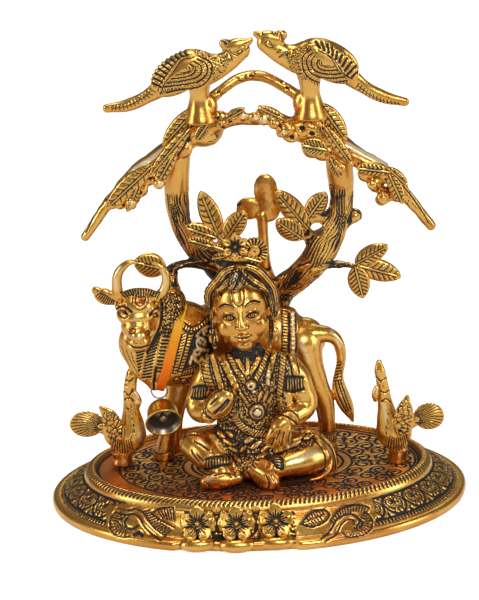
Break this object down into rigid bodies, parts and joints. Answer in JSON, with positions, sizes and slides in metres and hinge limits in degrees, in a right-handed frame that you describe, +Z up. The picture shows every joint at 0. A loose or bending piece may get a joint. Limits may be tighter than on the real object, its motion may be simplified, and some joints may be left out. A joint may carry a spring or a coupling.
{
  "type": "laddu gopal idol",
  "caption": "Gilt cast-metal devotional ornament: a seated child with a cow and bell under a leafy tree arch with birds, on an oval base with peacocks.",
  "frame": {"origin": "middle of the underside of the oval base, between its two widest points", "axes": "+Z up, the front towards -Y, +X towards the viewer's right"},
  "size_m": [0.1778, 0.1278, 0.2099],
  "materials": {
    "antique_gold": "bright gold plate over a cast metal, with near-black antique patina left in the grooves",
    "bell_brass": "polished brass outside, dull grey-brown inside",
    "neck_band": "smooth orange-yellow band",
    "bell_wire": "bright drawn wire"
  },
  "bodies": {
    "root": {"base": "antique_gold", "child_figure": "antique_gold", "cow": "antique_gold", "tree": "antique_gold", "canopy": "antique_gold", "bird_left": "antique_gold", "bird_right": "antique_gold", "peacock_left": "antique_gold", "peacock_right": "antique_gold", "bell": "bell_brass", "bell_clapper": "bell_brass", "neck_band": "neck_band", "bell_wire": "bell_wire"}
  },
  "joints": []
}
